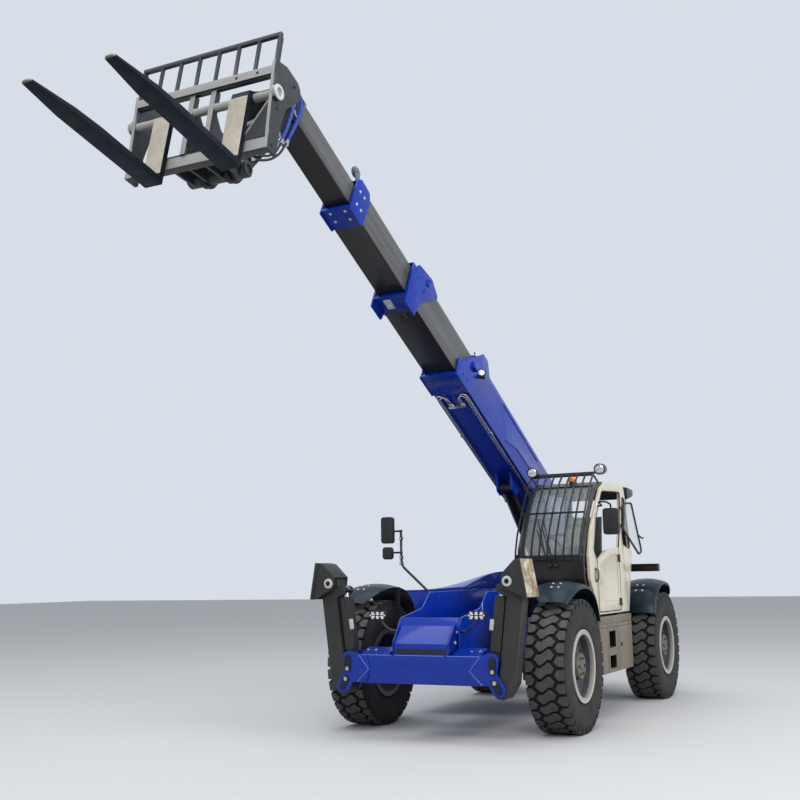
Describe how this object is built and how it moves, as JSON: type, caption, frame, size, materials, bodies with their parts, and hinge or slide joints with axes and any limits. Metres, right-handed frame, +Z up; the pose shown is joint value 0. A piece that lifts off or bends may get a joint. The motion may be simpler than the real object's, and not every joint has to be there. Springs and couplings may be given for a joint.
{
  "type": "telescopic handler",
  "caption": "Four-wheel-steer telescopic handler with a multi-section lifting boom, tilting pallet forks, swing-down front stabilizers, side cab and side engine bay.",
  "frame": {"origin": "on the ground plane, under the middle of the whole box", "axes": "+X forward, towards the forks; +Y to the machine's left; +Z up"},
  "size_m": [10.2278, 2.661, 5.4419],
  "materials": {
    "axle_paint": "matte",
    "black_paint": "satin",
    "black_plastic": "matte",
    "blue_paint": "gloss",
    "bright_steel": "polished",
    "cab_glass": "clear",
    "charcoal_paint": "satin",
    "cream_paint": "gloss",
    "engine_paint": "matte",
    "fender_plastic": "gloss",
    "lamp_plastic": "gloss",
    "rim_paint": "satin",
    "seat_cloth": "woven",
    "section_paint": "satin",
    "taupe_paint": "satin",
    "tyre_rubber": "matte"
  },
  "bodies": {
    "wheel_front_left": {"tyre_front_left": "tyre_rubber", "rim_front_left": "rim_paint"},
    "steer_front_left": {"knuckle_front_left": "axle_paint", "fender_front_left": "fender_plastic"},
    "wheel_front_right": {"tyre_front_right": "tyre_rubber", "rim_front_right": "rim_paint"},
    "steer_front_right": {"knuckle_front_right": "axle_paint", "fender_front_right": "fender_plastic"},
    "wheel_rear_left": {"tyre_rear_left": "tyre_rubber", "rim_rear_left": "rim_paint"},
    "steer_rear_left": {"knuckle_rear_left": "axle_paint", "fender_rear_left": "fender_plastic"},
    "wheel_rear_right": {"tyre_rear_right": "tyre_rubber", "rim_rear_right": "rim_paint"},
    "steer_rear_right": {"knuckle_rear_right": "axle_paint", "fender_rear_right": "fender_plastic"},
    "chassis": {"axle_front": "axle_paint", "axle_rear": "axle_paint", "side_plates": "blue_paint", "chassis": "blue_paint", "counterweight": "charcoal_paint", "front_beam": "blue_paint", "cab": "charcoal_paint", "cab_side": "charcoal_paint", "door_leaf": "black_plastic", "screen_guard": "black_paint", "seat": "seat_cloth", "steering_column": "black_plastic", "engine_bay": "blue_paint", "engine": "engine_paint", "skirt": "taupe_paint", "cab_glass": "cab_glass", "lamps": "lamp_plastic", "mirrors": "black_plastic", "rear_carrier": "black_paint"},
    "leg_left": {"stabilizer_leg_left": "charcoal_paint"},
    "leg_right": {"stabilizer_leg_right": "charcoal_paint"},
    "foot_left": {"stabilizer_foot_left": "charcoal_paint"},
    "foot_right": {"stabilizer_foot_right": "charcoal_paint"},
    "ram_left": {"stabilizer_barrel_left": "charcoal_paint"},
    "ram_right": {"stabilizer_barrel_right": "charcoal_paint"},
    "ram_rod_left": {"stabilizer_rod_left": "bright_steel"},
    "ram_rod_right": {"stabilizer_rod_right": "bright_steel"},
    "boom_1": {"boom_1": "blue_paint", "boom_pipes": "bright_steel"},
    "boom_2": {"boom_2": "section_paint"},
    "boom_3": {"boom_3": "section_paint"},
    "boom_4": {"boom_4": "section_paint"},
    "lift_barrel": {"lift_barrel": "black_paint"},
    "lift_rod": {"lift_rod": "bright_steel"},
    "tilt_barrel": {"tilt_barrel": "black_paint"},
    "tilt_rod": {"tilt_rod": "bright_steel"},
    "carriage": {"carriage": "charcoal_paint", "forks": "black_paint"},
    "cab_door": {"cab_door": "cream_paint"},
    "hood": {"hood": "blue_paint"}
  },
  "joints": [
    {"name": "steer_front_left", "type": "hinge", "parent": "chassis", "child": "steer_front_left", "pos_m": [-0.70395, 0.7425, 0.635], "axis": [0, 0, 1], "range_deg": [-35, 35]},
    {"name": "wheel_front_left", "type": "hinge", "parent": "steer_front_left", "child": "wheel_front_left", "pos_m": [-0.70395, 1.0075, 0.635], "axis": [0, 1, 0], "continuous": true},
    {"name": "steer_front_right", "type": "hinge", "parent": "chassis", "child": "steer_front_right", "pos_m": [-0.70395, -0.8575, 0.635], "axis": [0, 0, 1], "range_deg": [-35, 35]},
    {"name": "wheel_front_right", "type": "hinge", "parent": "steer_front_right", "child": "wheel_front_right", "pos_m": [-0.70395, -1.1225, 0.635], "axis": [0, 1, 0], "continuous": true},
    {"name": "steer_rear_left", "type": "hinge", "parent": "chassis", "child": "steer_rear_left", "pos_m": [-4.01395, 0.7425, 0.635], "axis": [0, 0, 1], "range_deg": [-35, 35]},
    {"name": "wheel_rear_left", "type": "hinge", "parent": "steer_rear_left", "child": "wheel_rear_left", "pos_m": [-4.01395, 1.0075, 0.635], "axis": [0, 1, 0], "continuous": true},
    {"name": "steer_rear_right", "type": "hinge", "parent": "chassis", "child": "steer_rear_right", "pos_m": [-4.01395, -0.8575, 0.635], "axis": [0, 0, 1], "range_deg": [-35, 35]},
    {"name": "wheel_rear_right", "type": "hinge", "parent": "steer_rear_right", "child": "wheel_rear_right", "pos_m": [-4.01395, -1.1225, 0.635], "axis": [0, 1, 0], "continuous": true},
    {"name": "boom_lift", "type": "hinge", "parent": "chassis", "child": "boom_1", "pos_m": [-4.40395, -0.0575, 1.65], "axis": [0, -1, 0], "range_deg": [-28.8, 42.7]},
    {"name": "extend_2", "type": "slide", "parent": "boom_1", "child": "boom_2", "axis": [0.8886, 0, 0.4586], "range_m": [-0.86, 2.5]},
    {"name": "extend_3", "type": "slide", "parent": "boom_2", "child": "boom_3", "axis": [0.8886, 0, 0.4586], "range_m": [-0.86, 2.5]},
    {"name": "extend_4", "type": "slide", "parent": "boom_3", "child": "boom_4", "axis": [0.8886, 0, 0.4586], "range_m": [-0.86, 2.5]},
    {"name": "lift_barrel_swing", "type": "hinge", "parent": "boom_1", "child": "lift_barrel", "pos_m": [-2.00511, -0.0575, 2.50327], "axis": [0, -1, 0], "range_deg": [-2.5, 2.5]},
    {"name": "lift_rod_slide", "type": "slide", "parent": "lift_barrel", "child": "lift_rod", "axis": [-0.7477, 0, -0.6641], "range_m": [-0.47, 0.7]},
    {"name": "carriage_tilt", "type": "hinge", "parent": "boom_4", "child": "carriage", "pos_m": [3.51551, -0.0575, 4.44001], "axis": [0, -1, 0], "range_deg": [-76, 31]},
    {"name": "tilt_barrel_swing", "type": "hinge", "parent": "boom_4", "child": "tilt_barrel", "pos_m": [2.70155, -0.0575, 5.23865], "axis": [0, -1, 0], "range_deg": [-2, 2]},
    {"name": "tilt_rod_slide", "type": "slide", "parent": "tilt_barrel", "child": "tilt_rod", "axis": [0.8301, 0, -0.5576], "range_m": [-0.11, 0.25]},
    {"name": "stabilizer_left", "type": "hinge", "parent": "chassis", "child": "leg_left", "pos_m": [0.28105, 0.7515, 0.487], "axis": [-1, 0, 0], "range_deg": [0, 98]},
    {"name": "foot_left", "type": "hinge", "parent": "leg_left", "child": "foot_left", "pos_m": [0.28105, 0.8745, 1.461], "axis": [-1, 0, 0], "range_deg": [-8, 8]},
    {"name": "ram_swing_left", "type": "hinge", "parent": "chassis", "child": "ram_left", "pos_m": [0.28105, 0.6905, 0.761], "axis": [-1, 0, 0], "range_deg": [0, 106]},
    {"name": "ram_slide_left", "type": "slide", "parent": "ram_left", "child": "ram_rod_left", "axis": [0, 0.1253, 0.9921], "range_m": [0, 0.42]},
    {"name": "stabilizer_right", "type": "hinge", "parent": "chassis", "child": "leg_right", "pos_m": [0.28105, -0.8665, 0.487], "axis": [1, 0, 0], "range_deg": [0, 98]},
    {"name": "foot_right", "type": "hinge", "parent": "leg_right", "child": "foot_right", "pos_m": [0.28105, -0.9895, 1.461], "axis": [1, 0, 0], "range_deg": [-8, 8]},
    {"name": "ram_swing_right", "type": "hinge", "parent": "chassis", "child": "ram_right", "pos_m": [0.28105, -0.8055, 0.761], "axis": [1, 0, 0], "range_deg": [0, 106]},
    {"name": "ram_slide_right", "type": "slide", "parent": "ram_right", "child": "ram_rod_right", "axis": [0, -0.1253, 0.9921], "range_m": [0, 0.42]},
    {"name": "cab_door", "type": "hinge", "parent": "chassis", "child": "cab_door", "pos_m": [-2.51595, 1.0875, 1.4], "axis": [0, 0, 1], "range_deg": [0, 85]},
    {"name": "hood", "type": "hinge", "parent": "chassis", "child": "hood", "pos_m": [-2.30395, -0.4115, 1.362], "axis": [-1, 0, 0], "range_deg": [0, 70]}
  ],
  "couplings": [
    {"joint": "steer_front_right", "follows": "steer_front_left", "ratio": 1},
    {"joint": "steer_rear_right", "follows": "steer_rear_left", "ratio": 1},
    {"joint": "extend_3", "follows": "extend_2", "ratio": 1},
    {"joint": "extend_4", "follows": "extend_2", "ratio": 1},
    {"joint": "lift_barrel_swing", "follows": "boom_lift", "ratio": -0.04},
    {"joint": "lift_rod_slide", "follows": "boom_lift", "m_per_rad": 0.92},
    {"joint": "tilt_barrel_swing", "follows": "carriage_tilt", "ratio": 0.01},
    {"joint": "tilt_rod_slide", "follows": "carriage_tilt", "m_per_rad": -0.18},
    {"joint": "ram_swing_left", "follows": "stabilizer_left", "ratio": 1.08},
    {"joint": "ram_slide_left", "follows": "stabilizer_left", "m_per_rad": 0.2386},
    {"joint": "ram_swing_right", "follows": "stabilizer_right", "ratio": 1.08},
    {"joint": "ram_slide_right", "follows": "stabilizer_right", "m_per_rad": 0.2386}
  ]
}
